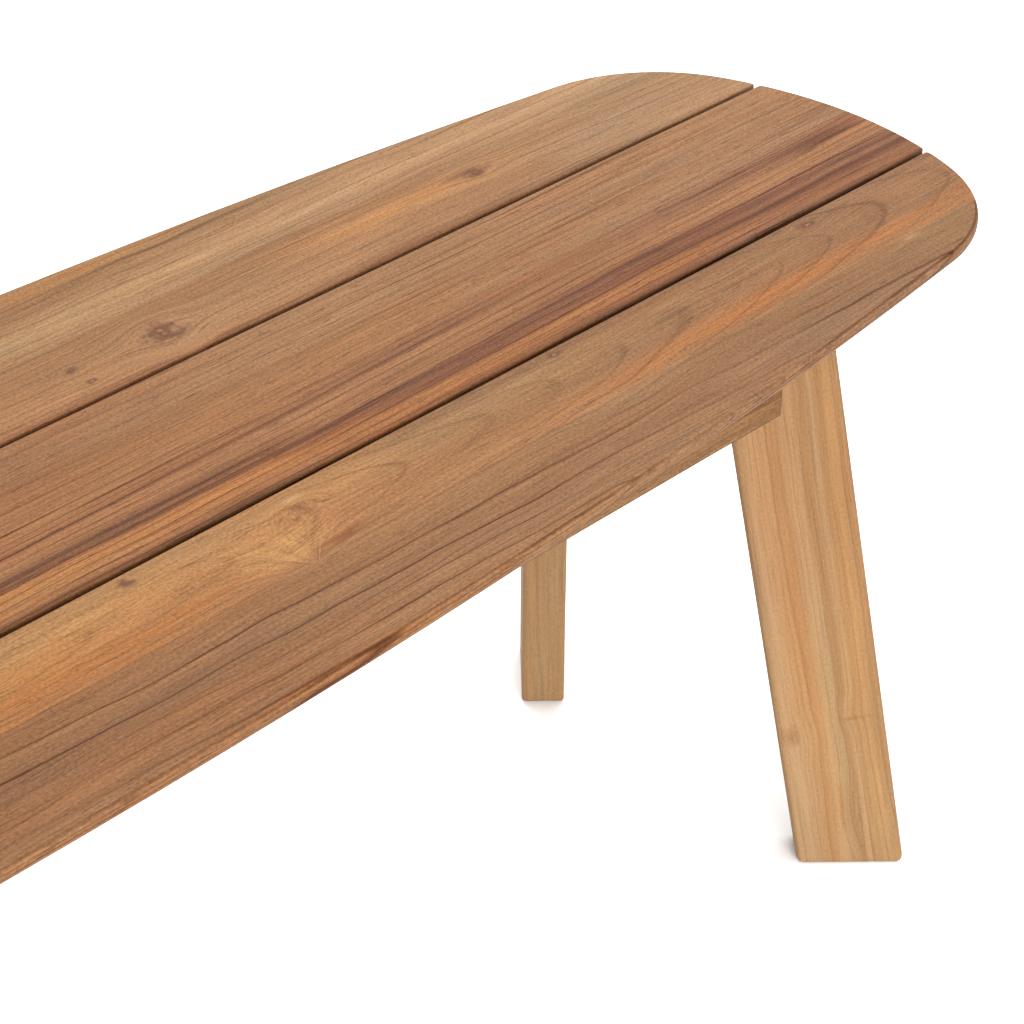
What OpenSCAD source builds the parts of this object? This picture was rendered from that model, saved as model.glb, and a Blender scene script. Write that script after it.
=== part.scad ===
// Backless bench in solid teak with a boat-shaped top.
// Three planks lie lengthwise on four battens, which are let into the top edges of two long
// rails. Each plank is glued up from two staves, edge to edge. Two short rails close the frame. Each leg is a flat board that stands on edge across
// a corner of the frame, so both rails at that corner end in a mitre against its wide faces.
// X runs along the bench, Y across it, Z up. The origin is on the floor under its middle.

/* [Seat] */
// Length of the seat, from tip to tip
seat_l = 1600; // [1300:10:2000]
// Width of the seat at its middle
seat_w = 418; // [345:1:520]
// Height of the sitting surface above the floor
seat_h = 450; // [370:5:550]
// Radius of the long, shallow curve of each side
side_r = 5300; // [4200:10:7000]
// Radius of the curve of each end
end_r = 256; // [212:2:320]
// Radius of each rounded corner
corner_r = 110; // [90:1:134]

/* [Planks] */
// Thickness of the planks
plank_t = 20; // [16:0.5:26]
// Height of the square edge that is left above the bevel
edge_h = 8; // [6:0.5:12]
// Width of the bevel under the edge
bevel_w = 28; // [18:1:34]
// Width of the middle plank
middle_w = 134; // [112:1:162]
// Gap between two planks
plank_gap = 3.5; // [2:0.5:6]
// Width of the inner stave of the front and the rear plank, from the gap to the glue line
inner_stave_w = 61; // [50:1:74]

/* [Frame] */
// How far the sides of the seat stand out past the long rails
side_overhang = 101; // [84:1:122]
// How far the ends of the seat stand out past the short rails
end_overhang = 170; // [140:1:205]
// Thickness of the rails
rail_t = 24; // [19:0.5:29]
// Height of the rails
rail_h = 80; // [70:1:100]
// Thickness of the battens
batten_t = 22; // [17:0.5:27]
// Width of the battens
batten_w = 45; // [36:1:56]
// Distance from one batten to the next
batten_pitch = 360; // [300:5:400]
// Distance from the end of a batten to the edge of the seat
batten_inset = 40; // [36:1:50]

/* [Legs] */
// Width of a leg board
leg_w = 70; // [58:1:84]
// Thickness of a leg board
leg_t = 30; // [25:0.5:37]
// Angle that a leg leans outwards
leg_lean = 9.8; // [6:0.1:12]
// How far a leg stands out past the corner of the frame under the seat
leg_proud = 9; // [5:0.5:14]

/* [Corner blocks] */
// Height of a corner block
block_h = 52; // [46:1:54]
// Half the space between the front and the rear corner block
block_clear = 10.5; // [4:0.5:16]

/* [Fixings] */
// Diameter of the wood screws
screw_d = 4.2; // [3.5:0.1:5]
// Diameter of the heads of the wood screws
screw_head_d = 8.6; // [7:0.1:10]
// Length of the screws that hold the planks
plank_screw_l = 35; // [28:0.5:37]
// Length of the screws that hold the battens
batten_screw_l = 60; // [50:1:72]
// Diameter of the dowels
dowel_d = 8; // [6:0.5:9.5]
// Depth of a dowel in each rail
dowel_depth = 12; // [9:0.5:14]
// Diameter of the leg bolts
bolt_d = 8; // [6:0.5:9.5]
// How far a leg bolt reaches into the leg
bolt_reach = 32; // [29:1:38]
// Clearance of what slides into a hole or a notch, across its width
fit = 0.2; // [0.1:0.05:0.4]

/* [Hidden] */

$fn = 48;
over = 1;                           // how far a cutter runs past the face that it cuts
sheet = 0.01;                       // thickness of the flat face at the foot of the bevel

// Heights
under_z = seat_h - plank_t;         // underside of the planks, and top of the whole frame
rail_z = under_z - rail_h;          // lower edge of the rails
batten_z = under_z - batten_t;      // underside of the battens

// Plan of the frame: its outer corners, and the inner faces of its rails
frame_x = seat_l / 2 - end_overhang;
frame_y = seat_w / 2 - side_overhang;
inner_x = frame_x - rail_t;
inner_y = frame_y - rail_t;
middle_y = middle_w / 2;
outer_y = middle_y + plank_gap;
glue_y = outer_y + inner_stave_w;
batten_xs = [for (i = [-1.5:1:1.5]) i * batten_pitch];

// A leg in its own diagonal plane, measured outwards from the outer corner of the frame
leg_slope = tan(leg_lean);
leg_level_w = leg_w / cos(leg_lean);
function leg_outside(z) = leg_proud + (under_z - z) * leg_slope;
function leg_inside(z) = leg_outside(z) - leg_level_w;

// Corner block, in the same diagonal plane
block_gap = 4;                      // between the block and the battens above it
block_top_z = batten_z - block_gap;
block_z = block_top_z - block_h;
block_w = (inner_y - block_clear) * sqrt(2);
inner_corner = -rail_t * sqrt(2);   // where the inner faces of the two rails would meet
block_face = inner_corner - block_w / 2;

// Fixings
dowel_l = leg_t + 2 * dowel_depth;
dowel_at = -leg_t / 2 - 0.62 * rail_t * sqrt(2);
dowel_zs = [block_z + block_h / 2, under_z - 16];
bolt_zs = [block_z + block_h / 2 - 16, block_z + block_h / 2 + 16];
bolt_head_t = 5.3;
bolt_head_d = 15;                   // across the corners of the hexagon
washer_t = 2;
bolt_l = washer_t + leg_inside(bolt_zs[0]) - block_face + bolt_reach;
washer_d = 24;
insert_d = bolt_d + 4;
insert_l = 22;
insert_sink = 3;                    // from the edge of the leg to the insert
middle_screw_y = middle_y / 2;
outer_screw_y = frame_y + 16;
outer_screw_x = batten_w / 2 - 10;  // the two screws of an outer plank lie side by side
rail_mid_y = (frame_y + inner_y) / 2;

// Outline of the top. One quarter is a side arc, a corner arc and an end arc, each tangent to
// the next, and inset moves all three inwards by the same distance.
function arc(centre, r, a0, a1, steps) =
    [for (i = [0:steps]) centre + r * [cos(a0 + (a1 - a0) * i / steps), sin(a0 + (a1 - a0) * i / steps)]];

side_centre = [0, seat_w / 2 - side_r];
end_centre = [seat_l / 2 - end_r, 0];
centres_d = norm(end_centre - side_centre);
centres_a = atan2(end_centre.y - side_centre.y, end_centre.x - side_centre.x);
// The centre of the corner arc is known from its distance to the other two centres
side_reach = side_r - corner_r;
end_reach = end_r - corner_r;
side_angle = centres_a - acos((side_reach ^ 2 + centres_d ^ 2 - end_reach ^ 2)
    / (2 * side_reach * centres_d));
corner_centre = side_centre + side_reach * [cos(side_angle), sin(side_angle)];
end_angle = atan2(corner_centre.y - end_centre.y, corner_centre.x - end_centre.x);

function quarter(inset) = concat(
    arc(side_centre, side_r - inset, 90, side_angle, 10),
    arc(corner_centre, corner_r - inset, side_angle, end_angle, 14),
    arc(end_centre, end_r - inset, end_angle, 0, 8)
);

// Half the width of the top at a distance x from its middle, where the side arc forms it
function half_width(x) = side_centre.y + sqrt(side_r ^ 2 - x ^ 2);

module quarter_outline(inset) {
    polygon(concat([[0, 0]], quarter(inset)));
}

module outline(inset) {
    hull()
        for (x = [0, 1], y = [0, 1])
            mirror([x, 0]) mirror([0, y]) quarter_outline(inset);
}

// The whole top in one piece, with the bevel under its edge
module top_blank() {
    hull() {
        translate([0, 0, seat_h - edge_h]) linear_extrude(edge_h) outline(0);
        translate([0, 0, under_z]) linear_extrude(sheet) outline(bevel_w);
    }
}

// One stave: the part of the top between y0 and y1, with the holes for its screws
module stave(y0, y1) {
    reach = screw_d;
    difference() {
        intersection() {
            top_blank();
            translate([-seat_l / 2 - over, y0, under_z - over])
                cube([seat_l + 2 * over, y1 - y0, plank_t + 2 * over]);
        }
        for (p = plank_screw_places())
            if (p.y > y0 - reach && p.y < y1 + reach)
                translate([p.x, p.y, batten_z])
                    cylinder(d = screw_d + fit, h = plank_screw_l + over);
    }
}

// Places of the screws that come up through the battens, two for each plank on each batten
function plank_screw_places() = [
    for (x = batten_xs) each concat(
        [for (y = [-middle_screw_y, middle_screw_y]) [x, y]],
        [for (y = [-outer_screw_y, outer_screw_y], dx = [-outer_screw_x, outer_screw_x]) [x + dx, y]]
    )
];

// Countersunk screw with its head at the origin, pointing up
module screw(length, clearance) {
    head_t = (screw_head_d - screw_d) / 2;
    cylinder(d1 = screw_head_d, d2 = screw_d, h = head_t);
    cylinder(d = screw_d + clearance, h = length);
}

// Moves a corner's parts from the diagonal plane of its leg into place. In that plane, X runs
// outwards from the outer corner of the frame and Y across the leg board.
module at_corner(side, end) {
    x_flip = end == "left" ? 1 : 0;
    y_flip = side == "rear" ? 1 : 0;
    mirror([x_flip, 0, 0])
        mirror([0, y_flip, 0])
            translate([frame_x, -frame_y, 0])
                rotate([0, 0, -45]) children();
}

module at_each_corner() {
    for (side = ["front", "rear"], end = ["left", "right"])
        at_corner(side, end) children();
}

module leg_blank(top_z) {
    rotate([90, 0, 0])
        linear_extrude(leg_t, center = true)
            polygon([
                [leg_inside(0), 0], [leg_outside(0), 0],
                [leg_outside(top_z), top_z], [leg_inside(top_z), top_z]
            ]);
}

module dowel_set(d, length) {
    for (z = dowel_zs)
        translate([dowel_at, 0, z]) rotate([90, 0, 0]) cylinder(d = d, h = length, center = true);
}

module bolt_holes() {
    for (z = bolt_zs) {
        translate([block_face - over, 0, z]) rotate([0, 90, 0])
            cylinder(d = bolt_d + 2 * fit, h = bolt_l + 2 * over + fit);
        translate([leg_inside(z) - over, 0, z]) rotate([0, 90, 0])
            cylinder(d = insert_d + fit, h = insert_sink + insert_l + over);
    }
}

module leg(side, end) {
    color([0.76, 0.60, 0.44])
        at_corner(side, end)
            difference() {
                leg_blank(under_z);
                dowel_set(dowel_d + fit, dowel_l);
                bolt_holes();
            }
}

// Trapezium between the inner faces of two rails, cut back to the leaning edge of the leg
module corner_block(side, end) {
    color([0.64, 0.47, 0.33])
        at_corner(side, end)
            difference() {
                translate([0, 0, block_z])
                    linear_extrude(block_h)
                        polygon([[inner_corner, 0], [block_face, block_w / 2], [block_face, -block_w / 2]]);
                rotate([90, 0, 0])
                    linear_extrude(block_w, center = true)
                        polygon([
                            [leg_inside(block_z - over), block_z - over], [over, block_z - over],
                            [over, block_top_z + over], [leg_inside(block_top_z + over), block_top_z + over]
                        ]);
                for (z = bolt_zs)
                    translate([block_face - over, 0, z]) rotate([0, 90, 0])
                        cylinder(d = bolt_d + 2 * fit, h = block_w);
            }
}

module long_rail(side) {
    turn = side == "rear" ? 1 : 0;
    mitre = leg_t / sqrt(2);
    color([0.62, 0.47, 0.34])
        mirror([0, turn, 0])
            difference() {
                // Mitred ends: the longer edge is the outer face of the rail
                translate([0, 0, rail_z])
                    linear_extrude(rail_h)
                        polygon([
                            [-frame_x + mitre, -frame_y], [frame_x - mitre, -frame_y],
                            [frame_x - mitre - rail_t, -inner_y], [-frame_x + mitre + rail_t, -inner_y]
                        ]);
                at_each_corner() dowel_set(dowel_d + fit, dowel_l + fit);
                for (x = batten_xs) {
                    translate([x - (batten_w + fit) / 2, -frame_y - over, batten_z])
                        cube([batten_w + fit, rail_t + 2 * over, batten_t + over]);
                    translate([x, -rail_mid_y, under_z - batten_screw_l - over])
                        cylinder(d = screw_d + fit, h = batten_screw_l);
                }
            }
}

module short_rail(end) {
    turn = end == "left" ? 1 : 0;
    mitre = leg_t / sqrt(2);
    color([0.62, 0.47, 0.34])
        mirror([turn, 0, 0])
            difference() {
                translate([0, 0, rail_z])
                    linear_extrude(rail_h)
                        polygon([
                            [frame_x, -frame_y + mitre], [frame_x, frame_y - mitre],
                            [inner_x, frame_y - mitre - rail_t], [inner_x, -frame_y + mitre + rail_t]
                        ]);
                at_each_corner() dowel_set(dowel_d + fit, dowel_l + fit);
            }
}

module batten(i) {
    x = batten_xs[i];
    half_l = half_width(abs(x) + batten_w / 2) - batten_inset;
    color([0.64, 0.48, 0.34])
        difference() {
            translate([x - batten_w / 2, -half_l, batten_z])
                cube([batten_w, 2 * half_l, batten_t]);
            for (p = plank_screw_places())
                translate([p.x, p.y, batten_z]) screw(batten_t + over, fit);
            for (y = [-rail_mid_y, rail_mid_y])
                translate([x, y, under_z]) mirror([0, 0, 1]) screw(batten_t + over, fit);
        }
}

module rail_dowels() {
    color([0.80, 0.66, 0.46])
        at_each_corner() dowel_set(dowel_d, dowel_l - fit);
}

module plank_screws() {
    color([0.72, 0.72, 0.70])
        for (p = plank_screw_places())
            translate([p.x, p.y, batten_z]) screw(plank_screw_l, 0);
}

module batten_screws() {
    color([0.72, 0.72, 0.70])
        for (x = batten_xs, y = [-rail_mid_y, rail_mid_y])
            translate([x, y, under_z]) mirror([0, 0, 1]) screw(batten_screw_l, 0);
}

module leg_bolts() {
    color([0.70, 0.70, 0.69])
        at_each_corner()
            for (z = bolt_zs)
                translate([block_face - washer_t, 0, z]) rotate([0, 90, 0]) {
                    cylinder(d = bolt_d, h = bolt_l);
                    translate([0, 0, -bolt_head_t]) cylinder(d = bolt_head_d, h = bolt_head_t, $fn = 6);
                }
}

module leg_washers() {
    color([0.76, 0.76, 0.75])
        at_each_corner()
            for (z = bolt_zs)
                translate([block_face - washer_t, 0, z]) rotate([0, 90, 0])
                    difference() {
                        cylinder(d = washer_d, h = washer_t);
                        translate([0, 0, -over]) cylinder(d = bolt_d + fit, h = washer_t + 2 * over);
                    }
}

module leg_inserts() {
    color([0.78, 0.64, 0.34])
        at_each_corner()
            for (z = bolt_zs)
                translate([leg_inside(z) + insert_sink, 0, z]) rotate([0, 90, 0])
                    difference() {
                        cylinder(d = insert_d, h = insert_l);
                        translate([0, 0, -over]) cylinder(d = bolt_d + fit, h = insert_l + 2 * over);
                    }
}

module stave_front_outer() { color([0.65, 0.48, 0.36]) stave(-seat_w / 2 - over, -glue_y); }
module stave_front_inner() { color([0.74, 0.54, 0.38]) stave(-glue_y, -outer_y); }
module stave_middle_front() { color([0.64, 0.45, 0.32]) stave(-middle_y, 0); }
module stave_middle_rear() { color([0.67, 0.48, 0.36]) stave(0, middle_y); }
module stave_rear_inner() { color([0.70, 0.53, 0.40]) stave(outer_y, glue_y); }
module stave_rear_outer() { color([0.74, 0.59, 0.45]) stave(glue_y, seat_w / 2 + over); }

stave_front_outer();
stave_front_inner();
stave_middle_front();
stave_middle_rear();
stave_rear_inner();
stave_rear_outer();
long_rail("front");  // rail_front
long_rail("rear");  // rail_rear
short_rail("left");  // rail_left
short_rail("right");  // rail_right
batten(0);  // batten_left_outer
batten(1);  // batten_left_inner
batten(2);  // batten_right_inner
batten(3);  // batten_right_outer
leg("front", "left");  // leg_front_left
leg("front", "right");  // leg_front_right
leg("rear", "left");  // leg_rear_left
leg("rear", "right");  // leg_rear_right
corner_block("front", "left");  // corner_block_front_left
corner_block("front", "right");  // corner_block_front_right
corner_block("rear", "left");  // corner_block_rear_left
corner_block("rear", "right");  // corner_block_rear_right
rail_dowels();
plank_screws();
batten_screws();
leg_bolts();
leg_washers();
leg_inserts();
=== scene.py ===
# %% [markdown]
# # A backless bench in solid wood
# The bench has a boat-shaped top of three planks, each glued up from two staves. Battens and
# a frame of rails carry the top, and four leaning boards are its legs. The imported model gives
# every part its place and size, and this lesson gives each part its real edges and its wood.

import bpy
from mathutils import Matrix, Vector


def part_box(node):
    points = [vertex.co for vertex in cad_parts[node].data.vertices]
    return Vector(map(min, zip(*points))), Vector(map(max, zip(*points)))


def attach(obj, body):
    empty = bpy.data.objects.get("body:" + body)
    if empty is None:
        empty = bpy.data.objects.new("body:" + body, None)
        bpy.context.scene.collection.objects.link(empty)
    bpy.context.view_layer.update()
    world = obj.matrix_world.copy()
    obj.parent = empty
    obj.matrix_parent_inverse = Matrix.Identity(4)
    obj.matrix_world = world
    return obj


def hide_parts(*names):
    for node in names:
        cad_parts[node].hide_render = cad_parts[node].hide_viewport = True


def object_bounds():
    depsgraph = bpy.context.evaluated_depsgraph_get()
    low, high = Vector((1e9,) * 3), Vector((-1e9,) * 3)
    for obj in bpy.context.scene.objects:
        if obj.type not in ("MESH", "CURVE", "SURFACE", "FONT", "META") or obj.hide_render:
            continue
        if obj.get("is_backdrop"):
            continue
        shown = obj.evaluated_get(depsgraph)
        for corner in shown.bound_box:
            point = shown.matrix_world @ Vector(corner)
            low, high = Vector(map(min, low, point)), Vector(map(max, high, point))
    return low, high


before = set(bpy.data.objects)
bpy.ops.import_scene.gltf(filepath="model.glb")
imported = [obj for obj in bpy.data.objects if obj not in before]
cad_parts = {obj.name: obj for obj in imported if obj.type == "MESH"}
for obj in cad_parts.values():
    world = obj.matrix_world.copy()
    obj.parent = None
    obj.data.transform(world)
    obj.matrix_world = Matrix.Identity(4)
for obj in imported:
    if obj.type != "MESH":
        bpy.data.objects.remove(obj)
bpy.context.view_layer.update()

# %% Modules
import math

import bmesh
import bpy
from mathutils import Matrix, Vector

MM = 0.001
TOUCHING = 0.01 * MM
print("Blender", bpy.app.version_string)

# %% [markdown]
# ## The camera
# A long lens seen from a standing person's height keeps the lines of the bench nearly
# parallel. The camera stands off the front left and looks down at the right-hand end. It comes
# first because every later choice is judged through it.

# %% Camera
camera_data = bpy.data.cameras.new("camera")
camera_data.sensor_width = 36
camera_data.lens = 105.585
camera = bpy.data.objects.new("camera", camera_data)
camera.location = (-0.614727, -1.065345, 1.293643)
camera.rotation_euler = [math.radians(a) for a in (56.742, 0, -45.944)]
bpy.context.scene.collection.objects.link(camera)
bpy.context.scene.camera = camera
print("camera at", tuple(round(c, 3) for c in camera.location))

# %% [markdown]
# ## Edges of real boards
# No sawn board keeps a razor edge: a hand plane or a sander takes it off. The edges could be
# bevelled one by one in each mesh, but a Bevel modifier that reads a weight from every edge
# does them all at once, with a different radius for each, and turns their corners well. So
# each board starts sharp, its edges get a radius, and the modifier rounds them.

# %% A board with rounded arrises
LARGEST_ARRIS = 6 * MM
SHARP_DEGREES = 32


def radius_layer(bm):
    return (bm.edges.layers.float.get("bevel_weight_edge")
            or bm.edges.layers.float.new("bevel_weight_edge"))


def round_edges(bm, radius, chosen):
    """Gives the edges that chosen(edge) picks a radius, as a share of the largest one."""
    layer = radius_layer(bm)
    for edge in bm.edges:
        if chosen(edge):
            edge[layer] = radius / LARGEST_ARRIS


def is_corner(edge, degrees=20):
    """True where two faces meet at more than this angle."""
    return len(edge.link_faces) == 2 and edge.calc_face_angle(0) > math.radians(degrees)


def rise(edge):
    """How much higher one end of the edge is than the other."""
    return abs(edge.verts[0].co.z - edge.verts[1].co.z)


def add_rounding(board, segments):
    rounding = board.modifiers.new("arrises", "BEVEL")
    rounding.limit_method = "WEIGHT"
    rounding.width = LARGEST_ARRIS
    rounding.segments = segments
    rounding.use_clamp_overlap = False
    return rounding


def link_board(name, bm):
    """Makes an object from a bmesh, smooth but for the corners that stay sharp."""
    bmesh.ops.recalc_face_normals(bm, faces=bm.faces)
    layer = radius_layer(bm)
    for edge in bm.edges:
        edge.smooth = edge[layer] > 0 or not is_corner(edge, SHARP_DEGREES)
    for face in bm.faces:
        face.smooth = True
    open_edges = sum(len(e.link_faces) != 2 for e in bm.edges)
    print(f"{name}: {bm.calc_volume() * 1000:.3f} litres, {open_edges} open edges")
    mesh = bpy.data.meshes.new(name)
    bm.to_mesh(mesh)
    bm.free()
    board = bpy.data.objects.new(name, mesh)
    bpy.context.scene.collection.objects.link(board)
    return board


def stand_for(board, node):
    """The bench is rigid, so every board rides on its one body and hides its CAD node."""
    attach(board, "root")
    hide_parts(node)
    return board


def finish_board(name, bm, node, segments=3):
    """Makes the object of a board with live arrises, which stands for one CAD node."""
    board = link_board(name, bm)
    add_rounding(board, segments).harden_normals = True
    return stand_for(board, node)


print("largest arris", round(LARGEST_ARRIS / MM, 1), "mm")

# %% [markdown]
# ## The outline of the top
# Seen from above, each side is a very shallow arc, each end a tight one, and a smaller arc
# rounds the corner between them. A curve object could follow the same line, but three spins
# of one vertex give true arcs that meet without a kink. One quarter is mirrored twice. The end
# arc takes one long step where a gap will be sawn, so that no vertex crowds the cut.

# %% Measures of the top
half_length, _, top_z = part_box("stave_middle_front")[1]
half_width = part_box("stave_rear_outer")[1].y
SIDE_RADIUS, END_RADIUS, CORNER_RADIUS = 5.3, 0.256, 0.110
PLANK_THICKNESS = top_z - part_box("stave_middle_front")[0].z
EDGE_HEIGHT = 8 * MM
BEVEL_WIDTH = 28 * MM
print("top", round(2 * half_length, 3), "x", round(2 * half_width, 3),
      "thick", round(PLANK_THICKNESS, 4))

# %% Where the three arcs meet
side_centre = Vector((0, half_width - SIDE_RADIUS, top_z))
end_centre = Vector((half_length - END_RADIUS, 0, top_z))
between = end_centre - side_centre
side_reach = SIDE_RADIUS - CORNER_RADIUS
end_reach = END_RADIUS - CORNER_RADIUS
side_angle = math.atan2(between.y, between.x) - math.acos(
    (side_reach ** 2 + between.length_squared - end_reach ** 2)
    / (2 * side_reach * between.length))
corner_centre = side_centre + side_reach * Vector((math.cos(side_angle), math.sin(side_angle), 0))
to_corner = corner_centre - end_centre
end_angle = math.atan2(to_corner.y, to_corner.x)
print("arcs meet at", round(math.degrees(end_angle), 1),
      "and", round(math.degrees(side_angle), 1), "degrees")


# %% Spin a quarter, mirror it, and fill it
def sweep(bm, vertex, centre, angle, steps):
    """Turns a vertex about a centre, drawing edges behind it, and returns its last copy."""
    swept = bmesh.ops.spin(bm, geom=[vertex], cent=centre, axis=(0, 0, 1), angle=angle, steps=steps)
    return [v for v in swept["geom_last"] if isinstance(v, bmesh.types.BMVert)][0]


top = bmesh.new()
end_of_arc = bmesh.ops.create_vert(top, co=(half_length, 0, top_z))["vert"][0]
STEP_ACROSS_GAP = (60 * MM, 79 * MM)
before_gap, past_gap = (math.asin(y / END_RADIUS) for y in STEP_ACROSS_GAP)
end_of_arc = sweep(top, end_of_arc, end_centre, before_gap, 6)
end_of_arc = sweep(top, end_of_arc, end_centre, past_gap - before_gap, 1)
end_of_arc = sweep(top, end_of_arc, end_centre, end_angle - past_gap, 2)
end_of_arc = sweep(top, end_of_arc, corner_centre, side_angle - end_angle, 20)
end_of_arc = sweep(top, end_of_arc, side_centre, math.pi / 2 - side_angle, 16)
for axis in "XY":
    bmesh.ops.mirror(top, geom=top.verts[:] + top.edges[:], axis=axis, merge_dist=TOUCHING)
bmesh.ops.remove_doubles(top, verts=top.verts, dist=TOUCHING)
outline = bmesh.ops.contextual_create(top, geom=top.edges[:])["faces"][0]
print("outline of", len(outline.verts), "points")

# %% [markdown]
# ## The thickness of the top
# The edge is only 8 mm high to the eye: below it a wide bevel runs inwards to the underside,
# which makes a 20 mm plank look thin. An extrude makes the edge, and an inset that also sinks
# makes the bevel, at the same distance from the outline everywhere.

# %% Extrude the edge, inset the bevel
edge_strip = bmesh.ops.extrude_face_region(top, geom=[outline])["geom"]
bmesh.ops.translate(top, verts=[v for v in edge_strip if isinstance(v, bmesh.types.BMVert)],
                    vec=(0, 0, -EDGE_HEIGHT))
bmesh.ops.recalc_face_normals(top, faces=top.faces)
lower_face = min(top.faces, key=lambda f: f.calc_center_median().z)
bmesh.ops.inset_region(top, faces=[lower_face], thickness=BEVEL_WIDTH,
                       depth=PLANK_THICKNESS - EDGE_HEIGHT, use_even_offset=True)
print("underside at", round(min(v.co.z for v in top.verts), 4),
      "open edges", sum(len(e.link_faces) != 2 for e in top.edges))

# %% [markdown]
# ## Three planks, then six staves
# Each plank is two staves glued edge to edge, and the planks stand a few millimetres apart.
# The staves could be drawn one by one, but sawing the one top with planes keeps the outline
# in one line across all of them. The real maker glues first and rounds the edges afterwards,
# and the order matters here too: an edge that is rounded before the glue line is sawn meets
# it squarely, with no notch.

# %% Saw a plank and round it
RIM_ARRIS, LOWER_ARRIS, GAP_ARRIS, END_CORNER = 3.5 * MM, 2.5 * MM, 1.1 * MM, 4.2 * MM


def saw(bm, y, keep_above):
    """Cuts at y, drops one side and closes the cut."""
    cut = bmesh.ops.bisect_plane(bm, geom=bm.verts[:] + bm.edges[:] + bm.faces[:], dist=1e-6,
                                 plane_co=(0, y, 0), plane_no=(0, 1, 0),
                                 clear_inner=keep_above, clear_outer=not keep_above)
    rim = [e for e in cut["geom_cut"] if isinstance(e, bmesh.types.BMEdge)]
    bmesh.ops.contextual_create(bm, geom=rim)
    bmesh.ops.recalc_face_normals(bm, faces=bm.faces)


def saw_plank(gap_below, gap_above):
    """A plank between two gaps, None where it ends at the side of the seat, with round edges."""
    bm = top.copy()
    gaps = [y for y in (gap_below, gap_above) if y is not None]
    if gap_below is not None:
        saw(bm, gap_below, True)
    if gap_above is not None:
        saw(bm, gap_above, False)

    def at(edge, axis, value):
        return all(abs(v.co[axis] - value) < TOUCHING for v in edge.verts)

    def meets_top(edge):
        return max(v.co.z for v in edge.verts) > top_z - MM

    round_edges(bm, RIM_ARRIS, lambda e: at(e, 2, top_z) and is_corner(e))
    round_edges(bm, LOWER_ARRIS, lambda e: at(e, 2, top_z - EDGE_HEIGHT) and is_corner(e))
    for y in gaps:
        round_edges(bm, GAP_ARRIS, lambda e: at(e, 1, y) and is_corner(e))
        round_edges(bm, END_CORNER,
                    lambda e: at(e, 1, y) and rise(e) > EDGE_HEIGHT / 2 and meets_top(e))
    sharp = link_board("sharp_plank", bm)
    add_rounding(sharp, segments=4)
    rounded = bmesh.new()
    rounded.from_object(sharp, bpy.context.evaluated_depsgraph_get())
    bpy.data.objects.remove(sharp)
    return rounded


outer_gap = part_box("stave_rear_inner")[0].y
middle_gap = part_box("stave_middle_rear")[1].y
planks = {"front": saw_plank(None, -outer_gap), "middle": saw_plank(-middle_gap, middle_gap),
          "rear": saw_plank(outer_gap, None)}
top.free()


# %% Saw each plank into its two staves
def saw_stave(node, plank, keep_above):
    """One half of a plank. Its new face lies on the glue line, at the edge of the node's box."""
    low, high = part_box(node)
    bm = planks[plank].copy()
    saw(bm, low.y if keep_above else high.y, keep_above)
    board = link_board(node + "_board", bm)
    even = board.modifiers.new("even_shading", "WEIGHTED_NORMAL")
    even.keep_sharp = True
    return stand_for(board, node)


staves = {
    "stave_front_outer": saw_stave("stave_front_outer", "front", False),
    "stave_front_inner": saw_stave("stave_front_inner", "front", True),
    "stave_middle_front": saw_stave("stave_middle_front", "middle", False),
    "stave_middle_rear": saw_stave("stave_middle_rear", "middle", True),
    "stave_rear_inner": saw_stave("stave_rear_inner", "rear", False),
    "stave_rear_outer": saw_stave("stave_rear_outer", "rear", True),
}
for plank in planks.values():
    plank.free()

# %% [markdown]
# ## Legs
# A leg is one flat board that stands on edge across a corner of the frame and leans outwards
# along the diagonal. A cube stretched to its width and thickness, with its foot slid outwards,
# is that board. The same leg is turned and mirrored into each corner.

# %% One leg in its own diagonal plane
LEG_WIDTH, LEG_THICKNESS = 70 * MM, 30 * MM
LEG_LEAN = math.radians(9.8)
LEG_PROUD = 9 * MM
LEG_ARRIS, FOOT_ARRIS, SOLE_ARRIS = 4 * MM, 5 * MM, 2 * MM
frame_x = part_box("rail_right")[1].x
frame_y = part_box("rail_rear")[1].y
leg_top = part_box("leg_front_right")[1].z
print("outer corner of the frame", round(frame_x, 4), round(frame_y, 4))


def to_corner_of_frame(side, end):
    """From the leg's plane, X outwards along the diagonal, to its corner of the frame."""
    place = Matrix.Translation((frame_x, -frame_y, 0)) @ Matrix.Rotation(math.radians(-45), 4, "Z")
    if side == "rear":
        place = Matrix.Scale(-1, 4, (0, 1, 0)) @ place
    if end == "left":
        place = Matrix.Scale(-1, 4, (1, 0, 0)) @ place
    return place


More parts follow.
